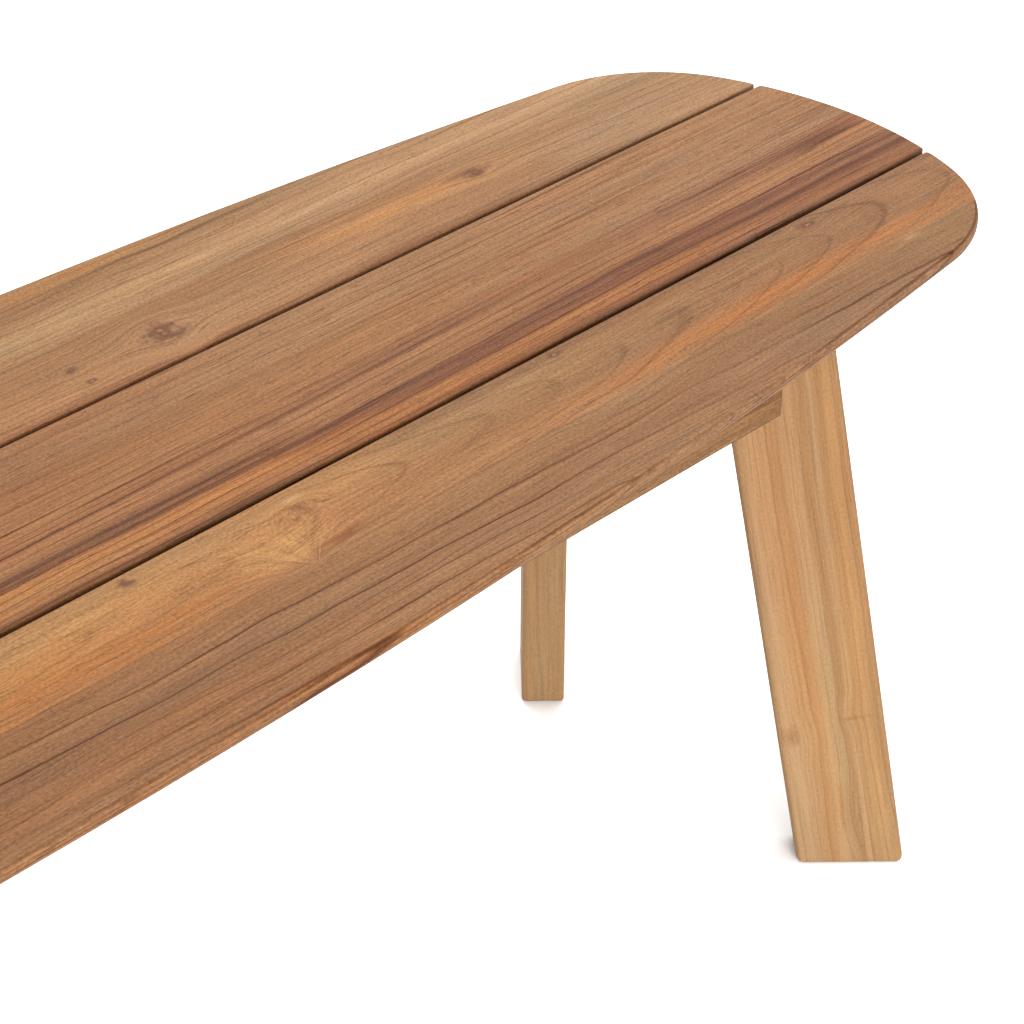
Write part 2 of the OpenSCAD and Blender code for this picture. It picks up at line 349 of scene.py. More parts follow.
def make_leg(side, end):
    """A leaning board, cut level at top and foot, so its level cuts are wider than the board."""
    level_width = LEG_WIDTH / math.cos(LEG_LEAN)
    bm = bmesh.new()
    bmesh.ops.create_cube(bm, size=1)
    bmesh.ops.scale(bm, verts=bm.verts, vec=(level_width, LEG_THICKNESS, leg_top))
    bmesh.ops.translate(bm, verts=bm.verts, vec=(LEG_PROUD - level_width / 2, 0, leg_top / 2))
    foot = [v for v in bm.verts if v.co.z < leg_top / 2]
    bmesh.ops.translate(bm, verts=foot, vec=(leg_top * math.tan(LEG_LEAN), 0, 0))

    def on_floor(edge):
        return all(v.co.z < MM for v in edge.verts)

    def crosses_thickness(edge):
        return abs(edge.verts[0].co.y - edge.verts[1].co.y) > MM

    round_edges(bm, LEG_ARRIS, lambda e: rise(e) > leg_top / 2)
    round_edges(bm, FOOT_ARRIS, lambda e: on_floor(e) and crosses_thickness(e))
    round_edges(bm, SOLE_ARRIS, lambda e: on_floor(e) and not crosses_thickness(e))
    bmesh.ops.transform(bm, matrix=to_corner_of_frame(side, end), verts=bm.verts)
    node = f"leg_{side}_{end}"
    return finish_board(node + "_board", bm, node, segments=4)


legs = {f"leg_{side}_{end}": make_leg(side, end)
        for side in ("front", "rear") for end in ("left", "right")}

# %% [markdown]
# ## Rails, battens and corner blocks
# These boards carry notches, mitres and screw holes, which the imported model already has. Its
# meshes are loose triangles, so a copy is merged and its flat faces are joined again, and
# only the long outer edges are rounded. The edges of the notches stay sharp, as from a saw.


# %% A rounded copy of a CAD board
def merged_copy(node):
    """The node's shape with its triangles merged and its flat faces whole again."""
    bm = bmesh.new()
    bm.from_mesh(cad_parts[node].data)
    bmesh.ops.remove_doubles(bm, verts=bm.verts, dist=TOUCHING)
    bmesh.ops.dissolve_limit(bm, angle_limit=math.radians(1), verts=bm.verts, edges=bm.edges)
    bmesh.ops.recalc_face_normals(bm, faces=bm.faces)
    return bm


def board_from_node(node, arris, shortest):
    """A copy whose outer edges longer than shortest are rounded."""
    bm = merged_copy(node)
    round_edges(bm, arris, lambda e: e.calc_length() > shortest and is_corner(e, 30)
                and e.is_convex)
    return finish_board(node + "_board", bm, node)


RAIL_ARRIS, BATTEN_ARRIS, BLOCK_ARRIS = 2 * MM, 1.5 * MM, 1.5 * MM
rails = {f"rail_{side}": board_from_node(f"rail_{side}", RAIL_ARRIS, 70 * MM)
         for side in ("front", "rear", "left", "right")}
battens = {f"batten_{place}":
           board_from_node(f"batten_{place}", BATTEN_ARRIS, 20 * MM)
           for place in ("left_outer", "left_inner", "right_inner", "right_outer")}
blocks = {f"corner_block_{side}_{end}":
          board_from_node(f"corner_block_{side}_{end}", BLOCK_ARRIS, 30 * MM)
          for side in ("front", "rear") for end in ("left", "right")}

# %% [markdown]
# ## Screws, bolts and washers
# They show only from below, but there they are what holds the bench together. A plain disc
# passes for a screw head only from afar, so each head gets a socket for a six-sided key: a
# hexagon is set in the head, bridged to its rim and sunk. Bolt heads and washers come from
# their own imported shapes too, and only lose their sharp edges.

# %% A socket in each screw head
SOCKET_RADIUS, SOCKET_DEPTH = 1.9 * MM, 1.7 * MM
SMALLEST_HEAD = 40 * MM ** 2


def sink_socket(bm, head):
    """Cuts a six-sided hole into one flat head."""
    rim = head.edges[:]
    centre, outward = head.calc_center_median(), head.normal.copy()
    bmesh.ops.delete(bm, geom=[head], context="FACES_ONLY")
    facing = Vector((0, 0, 1)).rotation_difference(outward).to_matrix().to_4x4()
    hexagon = bmesh.ops.create_circle(bm, segments=6, radius=SOCKET_RADIUS,
                                      matrix=Matrix.Translation(centre) @ facing)
    mouth = list(dict.fromkeys(edge for vert in hexagon["verts"] for edge in vert.link_edges))
    bmesh.ops.bridge_loops(bm, edges=rim + mouth)
    sunk = bmesh.ops.extrude_edge_only(bm, edges=mouth)["geom"]
    low = [v for v in sunk if isinstance(v, bmesh.types.BMVert)]
    bmesh.ops.translate(bm, verts=low, vec=-SOCKET_DEPTH * outward)
    bmesh.ops.contextual_create(bm, geom=[e for e in sunk if isinstance(e, bmesh.types.BMEdge)
                                          and all(v in low for v in e.verts)])


def socket_screws(node):
    bm = merged_copy(node)
    heads = [f for f in bm.faces if f.calc_area() > SMALLEST_HEAD]
    for head in heads:
        sink_socket(bm, head)
    print(len(heads), "sockets")
    return stand_for(link_board(node + "_socketed", bm), node)


fasteners = [socket_screws("plank_screws"), socket_screws("batten_screws")]

# %% Bolts and washers without sharp edges
BOLT_ARRIS, WASHER_ARRIS = 0.5 * MM, 0.3 * MM
SHORTEST_BOLT_EDGE = 3 * MM
bolts = merged_copy("leg_bolts")
round_edges(bolts, BOLT_ARRIS, lambda e: e.calc_length() > SHORTEST_BOLT_EDGE
            and is_corner(e, 30) and e.is_convex)
fasteners.append(finish_board("leg_bolts_eased", bolts, "leg_bolts", segments=2))
washers = merged_copy("leg_washers")
round_edges(washers, WASHER_ARRIS, lambda e: is_corner(e, 60))
fasteners.append(finish_board("leg_washers_eased", washers, "leg_washers", segments=2))

# %% [markdown]
# # Wood
# Teak is golden to dark brown, with thin dark growth lines and short open pores that run
# along the grain. A picture of wood would repeat and would show no true end grain, so the
# wood is solid: colour is worked out at every point of the board from its own coordinates.
# The grain is one field, the distance from a pith line that lies outside the board, bent by
# slow noise. Growth lines, fibres and pores all follow that one field.

# %% Short names for shader nodes
WOOD_EXPOSURE = (0.386, 0.364, 0.302)


def tone(red, green, blue):
    """A colour that was judged in 0-255 values, as the paint of a surface."""
    def linear(value):
        value /= 255
        return value / 12.92 if value <= 0.04045 else ((value + 0.055) / 1.055) ** 2.4
    return tuple(linear(v) * e for v, e in zip((red, green, blue), WOOD_EXPOSURE)) + (1,)


class Graph:
    """Adds nodes to one material. Each call returns the socket that it makes."""

    def __init__(self, name):
        self.material = bpy.data.materials.new(name)
        self.material.use_nodes = True
        self.nodes = self.material.node_tree.nodes
        self.links = self.material.node_tree.links
        self.shader = self.nodes["Principled BSDF"]

    def put(self, socket, value):
        if isinstance(value, bpy.types.NodeSocket):
            self.links.new(value, socket)
        else:
            socket.default_value = value

    def math(self, operation, a, b=0.0, c=0.0):
        node = self.nodes.new("ShaderNodeMath")
        node.operation = operation
        for socket, value in zip(node.inputs, (a, b, c)):
            self.put(socket, value)
        return node.outputs[0]

    def vector(self, operation, a, b=(0, 0, 0)):
        node = self.nodes.new("ShaderNodeVectorMath")
        node.operation = operation
        self.put(node.inputs[0], a)
        self.put(node.inputs[1], b)
        return node.outputs["Value" if operation == "LENGTH" else "Vector"]

    def combine(self, x, y, z):
        node = self.nodes.new("ShaderNodeCombineXYZ")
        for socket, value in zip(node.inputs, (x, y, z)):
            self.put(socket, value)
        return node.outputs[0]

    def split(self, vector):
        node = self.nodes.new("ShaderNodeSeparateXYZ")
        self.put(node.inputs[0], vector)
        return node.outputs[0], node.outputs[1], node.outputs[2]

    def local(self, vector, origin, turn=(0, 0, 0), size=(1, 1, 1)):
        """The same point, measured from origin along turned axes and in units of size."""
        node = self.nodes.new("ShaderNodeMapping")
        node.vector_type = "TEXTURE"
        self.put(node.inputs["Vector"], vector)
        node.inputs["Location"].default_value = origin
        node.inputs["Rotation"].default_value = turn
        node.inputs["Scale"].default_value = size
        return node.outputs[0]

    def noise(self, vector, per_metre, detail=2.0, rough=0.5):
        """Noise from -1 to 1, with its own frequency along each axis."""
        node = self.nodes.new("ShaderNodeTexNoise")
        self.put(node.inputs["Vector"], self.vector("MULTIPLY", vector, per_metre))
        node.inputs["Scale"].default_value = 1
        node.inputs["Detail"].default_value = detail
        node.inputs["Roughness"].default_value = rough
        return self.math("MULTIPLY_ADD", node.outputs["Fac"], 2.0, -1.0)

    def fade(self, value, start, end, low=0.0, high=1.0):
        node = self.nodes.new("ShaderNodeMapRange")
        node.interpolation_type = "SMOOTHSTEP"
        for name, number in (("Value", value), ("From Min", start), ("From Max", end),
                             ("To Min", low), ("To Max", high)):
            self.put(node.inputs[name], number)
        return node.outputs[0]

    def ramp(self, value, stops):
        node = self.nodes.new("ShaderNodeValToRGB")
        elements = node.color_ramp.elements
        while len(elements) < len(stops):
            elements.new(0.5)
        for element, (place, colour) in zip(elements, stops):
            element.position = place
            element.color = colour
        self.put(node.inputs[0], value)
        return node.outputs[0]

    def mix(self, share, a, b, blend="MIX"):
        node = self.nodes.new("ShaderNodeMix")
        node.data_type = "RGBA"
        node.blend_type = blend
        self.put(node.inputs[0], share)
        self.put(node.inputs[6], a)
        self.put(node.inputs[7], b)
        return node.outputs[2]


print("wood exposure", WOOD_EXPOSURE)

# %% [markdown]
# ## The teak itself
# One function makes the wood of any board. It is told where the board's grain runs, where the
# pith lies, how far apart the growth lines are, the colours across the board at a few places
# along it, and its knots. So each board is a different plank from the same kind of tree. On
# the two outer staves a few more lines come out along the thin side, below the top face, and
# that side gets a painted highlight that makes it paler.

# %% Lines, pores and knots
PORE = tone(84, 52, 34)
LINE = (0.32, 0.20, 0.13, 1)
FINE_LINE = (0.58, 0.45, 0.36, 1)
WARM, COOL = (1.035, 0.98, 0.94, 1), (0.98, 1.01, 1.05, 1)
HEART = [(0.0, tone(190, 142, 116)), (0.09, tone(116, 76, 60)), (0.22, tone(132, 92, 78)),
         (0.42, tone(158, 116, 94))]


def greys(stops):
    """Ramp stops from pairs of a place and a grey value."""
    return [(place, (grey,) * 3 + (1,)) for place, grey in stops]


def line_profile(thin):
    """One growth line: a slow rise, a thin dark line, and a sharp end. Thin is its share."""
    return greys([(0.0, 0.15), (thin * 0.3, 0.0), (1 - 2.6 * thin, 0.08), (1 - 1.1 * thin, 0.22),
                  (1 - 0.6 * thin, 1.0), (1 - 0.3 * thin, 1.0), (1.0, 0.15)])


SIDE_HEIGHT = 8.5 * MM
SIDE_LINES = greys([
    (0.0, 0.0), (0.05, 1.0), (0.12, 0.7), (0.19, 0.0), (0.30, 0.0), (0.36, 0.65), (0.43, 0.0),
    (0.55, 0.0), (0.61, 0.8), (0.68, 0.0), (0.84, 0.0), (0.89, 0.6), (0.96, 0.0)])
# Painted light: a paler tint for the lit thin side below the top face
SIDE_PAINTED_LIGHT = (1.10, 1.10, 1.05, 1)
print("stops on the side", len(SIDE_LINES), "on a growth line", len(line_profile(0.13)))


# %% Teak
def teak(name, origin, turn, width, palettes, pith=(0.09, -0.06), tilt=(0.0, 0.0), spacing=9 * MM,
         thin=0.13, line_strength=0.6, wander=6 * MM, shake=2 * MM, features=(), patches=(),
         seed=0.0, mottle=0.12, pores=0.45, streaks=0.35, coarse=1.0, side_lines=0.0):
    """The wood of one board, whose grain runs along the X axis that turn gives it."""
    g = Graph(name)
    coordinates = g.nodes.new("ShaderNodeTexCoord").outputs["Object"]
    place = g.local(coordinates, origin, turn)
    own = g.vector("ADD", place, (seed, seed * 0.37, seed * 0.71))
    along, across, deep = g.split(place)

    # The grain wanders slowly along the board, with a smaller and quicker shake on it
    slow = g.noise(own, (1.7, 6, 6), 1.0)
    quick = g.noise(own, (9, 30, 30), 2.0)
    field = g.math("MULTIPLY_ADD", slow, wander, across)
    field = g.math("MULTIPLY_ADD", quick, shake, field)
    knots, rays = [], []
    for kind, u, v, reach_u, reach_v, push in features:
        near = g.local(place, (u, v, 0), (0, 0, 0), (reach_u, reach_v, 10))
        distance = g.vector("LENGTH", near)
        hill = g.fade(distance, 0.0, 1.0, 1.0, 0.0)
        if kind == "swell":
            field = g.math("MULTIPLY_ADD", hill, push, field)
        elif kind == "rays":
            near_u, near_v, _ = g.split(near)
            polar = g.combine(g.math("ARCTAN2", near_v, near_u), distance, seed)
            ray = g.math("MULTIPLY", g.noise(polar, (7, 1.6, 1), 4.0, 0.75), hill)
            rays.append(g.math("MULTIPLY_ADD", ray, push, 1.0))
        else:
            aside = g.math("MULTIPLY", g.split(near)[1], hill)
            field = g.math("MULTIPLY_ADD", aside, -push * reach_v, field)
            knots.append(distance)

    # Distance from the pith
    from_pith_v = g.math("SUBTRACT", g.math("MULTIPLY_ADD", along, tilt[0], field), pith[0])
    from_pith_w = g.math("SUBTRACT", g.math("MULTIPLY_ADD", along, tilt[1], deep), pith[1])
    rings = g.vector("LENGTH", g.combine(from_pith_v, from_pith_w, 0.0))
    grain_place = g.combine(along, field, deep)
    grain = g.vector("ADD", grain_place, (seed, seed, seed))
    ring_point = g.combine(g.math("MULTIPLY", along, 0.02), rings, seed)

    # Colours across the board, mixed along it
    share = g.math("MULTIPLY_ADD", field, 1 / width, 0.5)
    colour, before = None, None
    for u, bands in palettes:
        here = g.ramp(share, [(p, tone(*c)) for p, c in bands])
        if colour is None:
            colour = here
        else:
            shaken = g.math("MULTIPLY_ADD", quick, 0.10, along)
            colour = g.mix(g.fade(shaken, before, u), colour, here)
        before = u

    # Patches of another colour, drawn out along the grain
    for u, v, reach_u, reach_v, paint, strength in patches:
        near = g.local(grain_place, (u, v, 0), (0, 0, 0), (reach_u, reach_v, 10))
        torn = g.math("MULTIPLY_ADD", g.noise(grain, (14, 160, 160), 2.0), 0.7,
                      g.vector("LENGTH", near))
        colour = g.mix(g.fade(torn, 0.15, 1.0, strength, 0.0), colour, tone(*paint))

    # Slow clouds of lighter and darker wood, drawn out along the grain
    cloud = g.noise(grain, (6, 70, 70), 4.0, 0.65)
    light = g.math("MULTIPLY_ADD", cloud, mottle, 1.0)
    band = g.noise(ring_point, (30, 300, 1), 3.0, 0.7)
    light = g.math("MULTIPLY_ADD", band, mottle, light)
    for ray in rays:
        light = g.math("MULTIPLY", light, ray)
    colour = g.mix(1.0, colour, g.combine(light, light, light), "MULTIPLY")
    tint = g.fade(g.noise(grain, (3.5, 38, 38), 3.0, 0.6), -0.32, 0.32)
    colour = g.mix(1.0, colour, g.mix(tint, WARM, COOL), "MULTIPLY")

    # Growth lines, with the wood between them in finer ones
    uneven = g.noise(ring_point, (12, 0.35 / spacing, 1), 2.0)
    count = g.math("MULTIPLY_ADD", rings, 1 / spacing, g.math("MULTIPLY", uneven, 1.1))
    line = g.ramp(g.math("FRACT", count), line_profile(thin))
    strength = g.fade(g.noise(grain, (4, 30, 30), 2.0), -0.5, 0.4, 0.15, 1.0)
    line_share = g.math("MULTIPLY", g.math("MULTIPLY", line, strength), line_strength)
    colour = g.mix(line_share, colour, g.mix(1.0, colour, LINE, "MULTIPLY"))
    fine = g.ramp(g.math("FRACT", g.math("MULTIPLY", count, 4.3)), line_profile(0.3))
    fine_strength = g.fade(g.noise(grain, (7, 90, 90), 2.0), -0.3, 0.5, 0.0, 0.6)
    fine_share = g.math("MULTIPLY", g.math("MULTIPLY", fine, fine_strength), line_strength)
    colour = g.mix(fine_share, colour, g.mix(1.0, colour, FINE_LINE, "MULTIPLY"))

    # Thin dark streaks that run with the lines
    streak = g.fade(g.noise(grain, (5, 400, 400), 3.0, 0.65), 0.10, 0.30)
    where = g.fade(g.noise(grain, (3, 45, 45), 2.0), -0.25, 0.30, 0.15, 1.0)
    streak = g.math("MULTIPLY", g.math("MULTIPLY", streak, where), streaks)
    colour = g.mix(streak, colour, g.mix(1.0, colour, LINE, "MULTIPLY"))

    # Growth lines that come out along the thin side of a plank, and painted light that makes that
    # side paler
    if side_lines:
        wobble = g.math("MULTIPLY", g.noise(g.combine(along, seed, 0.0), (6, 1, 1), 3.0), 0.16)
        depth = g.math("MULTIPLY_ADD", deep, -1 / SIDE_HEIGHT, wobble)
        comes_and_goes = g.fade(g.noise(g.combine(along, seed, deep), (5, 1, 300)), -0.3, 0.2, 0.25)
        below_top = g.fade(deep, -0.1 * MM, -0.4 * MM)
        side_line = g.math("MULTIPLY", g.ramp(depth, SIDE_LINES), comes_and_goes)
        side_line = g.math("MULTIPLY", g.math("MULTIPLY", side_line, below_top), side_lines)
        # Painted light: the wood below the top face is made paler, as where the lamps fall on the
        # side
        colour = g.mix(g.math("MULTIPLY", below_top, 0.35), colour,
                       g.mix(1.0, colour, SIDE_PAINTED_LIGHT, "MULTIPLY"))
        colour = g.mix(side_line, colour, g.mix(1.0, colour, LINE, "MULTIPLY"))

    # Fibres, grit and open pores
    fibre = g.noise(grain, (12, 560, 560), 3.0, 0.75)
    grit = g.noise(grain, (420, 800, 800), 2.0, 0.7)
    fibre_light = g.math("MULTIPLY_ADD", fibre, 0.60 * coarse, 1.0)
    fibre_light = g.math("MULTIPLY_ADD", grit, 0.70 * coarse, fibre_light)
    colour = g.mix(1.0, colour, g.combine(fibre_light, fibre_light, fibre_light), "MULTIPLY")
    pore_noise = g.noise(grain, (55, 900, 900), 1.0, 0.5)
    pore = g.math("MULTIPLY", g.fade(pore_noise, 0.24, 0.40), g.fade(cloud, -0.4, 0.4, 0.2, 1.0))
    colour = g.mix(g.math("MULTIPLY", pore, pores), colour, PORE)

    # Knots: a ragged dark eye with a paler heart, and darker wood around it
    if knots:
        ragged = g.noise(place, (70, 150, 150), 4.0, 0.7)
    for distance in knots:
        rough_edge = g.math("MULTIPLY_ADD", ragged, 0.45, distance)
        inside = g.fade(rough_edge, 0.44, 0.10)
        colour = g.mix(g.math("MULTIPLY", inside, 0.85), colour, g.ramp(rough_edge, HEART))

    g.put(g.shader.inputs["Base Color"], colour)
    dull = g.math("MULTIPLY_ADD", fibre, 0.10, 0.60)
    g.put(g.shader.inputs["Roughness"], g.math("MULTIPLY_ADD", pore, 0.15, dull))
    g.shader.inputs["Specular IOR Level"].default_value = 0.08
    relief = g.math("MULTIPLY_ADD", fibre, 0.5, g.math("MULTIPLY", pore, -0.8))
    relief = g.math("MULTIPLY_ADD", line_share, -0.5, relief)
    bump = g.nodes.new("ShaderNodeBump")
    bump.inputs["Strength"].default_value = 0.6
    bump.inputs["Distance"].default_value = 0.15 * MM
    g.put(bump.inputs["Height"], relief)
    g.put(g.shader.inputs["Normal"], bump.outputs[0])
    print(name, "has", len(g.nodes), "nodes")
    return g.material


# %% [markdown]
# ## Wood for the staves
# Every stave was sawn from a different place, so each has its own row of numbers. The bands
# are colours from the stave's front edge to its rear edge, each list at a distance along the
# bench. Features are knots and swells that turn the grain aside, and patches are stains of
# another colour that the grain carries along.

# %% Stave woods
STAVE_WOOD = {
    "stave_front_outer": dict(
        palettes=[(-0.55, [(0.0, (172, 128, 94)), (0.5, (162, 118, 86)), (1.0, (168, 124, 92))]),
                  (-0.10, [(0.0, (168, 124, 92)), (0.35, (162, 116, 84)), (0.6, (156, 112, 82)),
                           (1.0, (160, 116, 82))]),
                  (0.08, [(0.0, (164, 118, 86)), (0.35, (170, 124, 90)), (0.7, (158, 114, 84)),
                          (0.85, (170, 126, 92)), (1.0, (164, 118, 84))]),
                  (0.25, [(0.0, (172, 128, 96)), (0.3, (174, 132, 100)), (0.5, (166, 124, 94)),
                          (1.0, (174, 132, 98))]),
                  (0.55, [(0.0, (170, 128, 100)), (0.5, (166, 126, 98)), (0.75, (164, 124, 94)),
                          (1.0, (172, 132, 100))])],
        patches=[(-0.360, 0.014, 0.110, 0.007, (148, 104, 76), 0.4),
                 (0.690, 0.032, 0.012, 0.003, (206, 172, 138), 0.6),
                 (0.160, -0.030, 0.080, 0.004, (184, 128, 84), 0.5),
                 (0.420, -0.012, 0.090, 0.004, (190, 138, 98), 0.4)],
        pith=(0.09, -0.045), tilt=(0.062, 0.02), spacing=12 * MM, thin=0.08, line_strength=1.0,
        wander=16 * MM, shake=6 * MM, seed=3.1, streaks=0.5),
    "stave_front_inner": dict(
        palettes=[(-0.55, [(0.0, (176, 128, 90)), (0.5, (184, 138, 98)), (1.0, (176, 130, 94))]),
                  (0.05, [(0.0, (188, 130, 84)), (0.3, (190, 132, 84)), (0.5, (198, 142, 92)),
                          (0.75, (198, 150, 102)), (1.0, (186, 140, 98))]),
                  (0.22, [(0.0, (184, 134, 96)), (0.5, (188, 138, 98)), (0.8, (200, 152, 108)),
                          (1.0, (186, 140, 100))]),
                  (0.38, [(0.0, (186, 136, 100)), (0.2, (182, 132, 94)), (0.35, (170, 126, 94)),
                          (0.7, (174, 136, 102)), (0.85, (182, 142, 106)), (1.0, (162, 124, 94))]),
                  (0.55, [(0.0, (180, 132, 96)), (0.2, (194, 134, 90)), (0.33, (184, 132, 94)),
                          (0.45, (166, 124, 94)), (0.85, (174, 132, 98)), (1.0, (158, 118, 90))]),
                  (0.72, [(0.0, (182, 134, 98)), (0.2, (186, 134, 96)), (0.35, (168, 124, 94)),
                          (0.6, (174, 130, 98)), (1.0, (168, 126, 98))])],
        patches=[(0.080, -0.0145, 0.130, 0.009, (198, 132, 78), 0.5),
                 (0.570, -0.0180, 0.230, 0.007, (200, 134, 86), 0.55),
                 (0.205, -0.0040, 0.045, 0.016, (216, 170, 120), 0.6),
                 (0.234, -0.0190, 0.020, 0.007, (168, 100, 68), 0.7),
                 (0.240, 0.0180, 0.012, 0.005, (222, 186, 144), 0.7),
                 (0.520, 0.0070, 0.040, 0.003, (118, 80, 64), 0.55),
                 (0.295, -0.0290, 0.030, 0.0014, (224, 196, 160), 0.7),
                 (0.478, -0.0290, 0.022, 0.0014, (228, 200, 166), 0.8)],
        pith=(0.006, 0.012), tilt=(0.0, -0.085), spacing=5.2 * MM, line_strength=0.4,
        wander=9 * MM, shake=6 * MM, seed=7.7, mottle=0.14,
        features=[("knot", -0.380, 0.006, 0.030, 0.018, 0.8),
                  ("knot", 0.130, 0.023, 0.018, 0.012, 0.7),
                  ("swell", 0.205, -0.008, 0.050, 0.026, 9 * MM),
                  ("rays", 0.208, -0.034, 0.080, 0.050, 0.9),
                  ("swell", 0.240, 0.016, 0.030, 0.014, -7 * MM),
                  ("knot", 0.440, 0.024, 0.020, 0.012, 0.6),
                  ("knot", 0.658, 0.021, 0.024, 0.014, 0.8)]),
    "stave_middle_front": dict(
        palettes=[(0.05, [(0.0, (132, 90, 61)), (0.05, (183, 130, 92)), (0.20, (199, 142, 94)),
                          (0.34, (197, 136, 88)), (0.385, (126, 82, 59)), (0.43, (148, 102, 73)),
                          (0.47, (120, 78, 57)), (0.52, (173, 126, 92)), (0.70, (179, 130, 96)),
                          (0.74, (142, 96, 69)), (0.79, (175, 124, 90)), (1.0, (183, 134, 98))]),
                  (0.22, [(0.0, (128, 88, 61)), (0.05, (171, 118, 84)), (0.18, (201, 140, 92)),
                          (0.30, (195, 134, 88)), (0.36, (128, 84, 61)), (0.43, (157, 110, 80)),
                          (0.47, (118, 78, 59)), (0.54, (181, 130, 94)), (0.72, (181, 130, 96)),
                          (0.76, (144, 98, 71)), (0.82, (177, 126, 92)), (1.0, (183, 134, 98))]),
                  (0.38, [(0.0, (140, 94, 64)), (0.05, (178, 122, 84)), (0.18, (190, 130, 86)),
                          (0.27, (136, 88, 66)), (0.32, (158, 108, 82)), (0.37, (126, 82, 64)),
                          (0.50, (184, 136, 102)), (0.74, (178, 128, 94)), (0.79, (150, 104, 78)),
                          (1.0, (176, 128, 96))]),
                  (0.52, [(0.0, (126, 86, 62)), (0.06, (164, 112, 80)), (0.2, (190, 130, 88)),
                          (0.31, (130, 84, 64)), (0.37, (160, 112, 88)), (0.43, (124, 82, 66)),
                          (0.56, (186, 136, 102)), (0.80, (170, 120, 90)), (1.0, (170, 122, 92))]),
                  (0.72, [(0.0, (114, 78, 58)), (0.08, (168, 118, 90)), (0.2, (166, 116, 88)),
                          (0.28, (124, 82, 64)), (0.34, (162, 116, 92)), (0.41, (130, 88, 72)),
                          (0.56, (192, 144, 112)), (0.7, (186, 138, 104)), (0.85, (160, 114, 88)),
                          (1.0, (170, 122, 96))])],
        patches=[(0.757, 0.0220, 0.050, 0.009, (118, 78, 62), 0.7)],
        pith=(-0.35, -0.12), tilt=(-0.014, 0.0), spacing=6 * MM, thin=0.15, line_strength=0.9,
        wander=7 * MM, shake=2.5 * MM, seed=12.4, mottle=0.22, pores=0.7, streaks=1.0),
    "stave_middle_rear": dict(
        palettes=[(0.1, [(0.0, (176, 128, 94)), (0.35, (170, 122, 88)), (0.45, (160, 114, 82)),
                         (0.6, (170, 122, 90)), (1.0, (172, 126, 94))]),
                  (0.35, [(0.0, (178, 132, 98)), (0.4, (174, 128, 94)), (0.6, (182, 136, 102)),
                          (1.0, (178, 134, 102))]),
                  (0.70, [(0.0, (180, 138, 108)), (0.4, (176, 134, 104)), (0.85, (184, 140, 108)),
                          (1.0, (180, 138, 106))])],
        features=[("knot", -0.470, 0.010, 0.024, 0.014, 0.7)],
        pith=(0.36, -0.2), tilt=(0.012, 0.0), spacing=6 * MM, thin=0.14, line_strength=0.5,
        wander=5 * MM, shake=2.0 * MM, seed=16.9, pores=0.7, streaks=0.6),
    "stave_rear_inner": dict(
        palettes=[(-0.5, [(0.0, (168, 122, 94)), (0.5, (180, 136, 104)), (1.0, (174, 130, 100))]),
                  (0.20, [(0.0, (150, 104, 76)), (0.08, (182, 134, 100)), (0.2, (190, 144, 110)),
                          (0.5, (180, 136, 102)), (1.0, (172, 130, 98))]),
                  (0.36, [(0.0, (152, 108, 80)), (0.08, (182, 136, 102)), (0.2, (190, 146, 112)),
                          (0.5, (182, 138, 104)), (1.0, (174, 132, 98))]),
                  (0.52, [(0.0, (150, 106, 78)), (0.10, (180, 136, 104)), (0.3, (178, 132, 100)),
                          (0.55, (200, 150, 110)), (0.75, (192, 142, 104)),
                          (1.0, (176, 134, 102))]),
                  (0.70, [(0.0, (160, 120, 94)), (0.10, (190, 152, 122)), (0.5, (186, 148, 120)),
                          (1.0, (182, 146, 116))])],
        patches=[(0.510, 0.0080, 0.120, 0.009, (220, 158, 102), 0.6),
                 (0.560, 0.0110, 0.020, 0.005, (130, 88, 74), 0.5)],
        pith=(-0.10, -0.10), tilt=(0.03, 0.0), spacing=8 * MM, line_strength=0.5,
        wander=9 * MM, shake=4.0 * MM, seed=21.3,
        features=[("knot", 0.306, -0.003, 0.044, 0.034, 0.9),
                  ("knot", 0.243, 0.002, 0.016, 0.010, 0.7),
                  ("knot", 0.244, -0.015, 0.014, 0.009, 0.7),
                  ("knot", 0.571, 0.011, 0.032, 0.018, 0.8)]),
    "stave_rear_outer": dict(
        palettes=[(-0.5, [(0.0, (178, 138, 106)), (0.5, (168, 128, 96)), (1.0, (180, 140, 106))]),
                  (0.20, [(0.0, (172, 132, 100)), (0.2, (194, 156, 120)), (0.4, (186, 146, 110)),
                          (0.6, (166, 126, 94)), (0.72, (188, 142, 104)), (1.0, (170, 130, 96))]),
                  (0.36, [(0.0, (176, 138, 106)), (0.3, (200, 160, 124)), (0.45, (186, 146, 112)),
                          (0.6, (168, 130, 98)), (0.75, (190, 146, 108)), (1.0, (186, 144, 106))]),
                  (0.52, [(0.0, (180, 142, 112)), (0.3, (204, 164, 130)), (0.5, (190, 150, 118)),
                          (0.7, (170, 134, 104)), (1.0, (182, 144, 112))]),
                  (0.68, [(0.0, (190, 152, 122)), (0.25, (204, 168, 138)), (0.5, (192, 154, 122)),
                          (1.0, (186, 146, 112))])],
        patches=[(0.340, 0.0172, 0.100, 0.004, (208, 150, 98), 0.6),
                 (0.405, 0.0098, 0.130, 0.0015, (126, 90, 62), 0.7),
                 (0.400, -0.0370, 0.170, 0.002, (140, 104, 78), 0.6)],
        features=[("knot", -0.210, 0.018, 0.028, 0.015, 0.8)],
        pith=(0.20, -0.08), tilt=(0.03, 0.03), spacing=10 * MM, line_strength=0.6,
        wander=10 * MM, shake=5.0 * MM, seed=27.5),
}
for node, wood in STAVE_WOOD.items():
    low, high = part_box(node)
    middle = (0, (low.y + high.y) / 2, high.z)
    staves[node].data.materials.append(
        teak("teak_" + node, middle, (0, 0, 0), high.y - low.y,
             side_lines=0.85 if "outer" in node else 0.0, **wood))

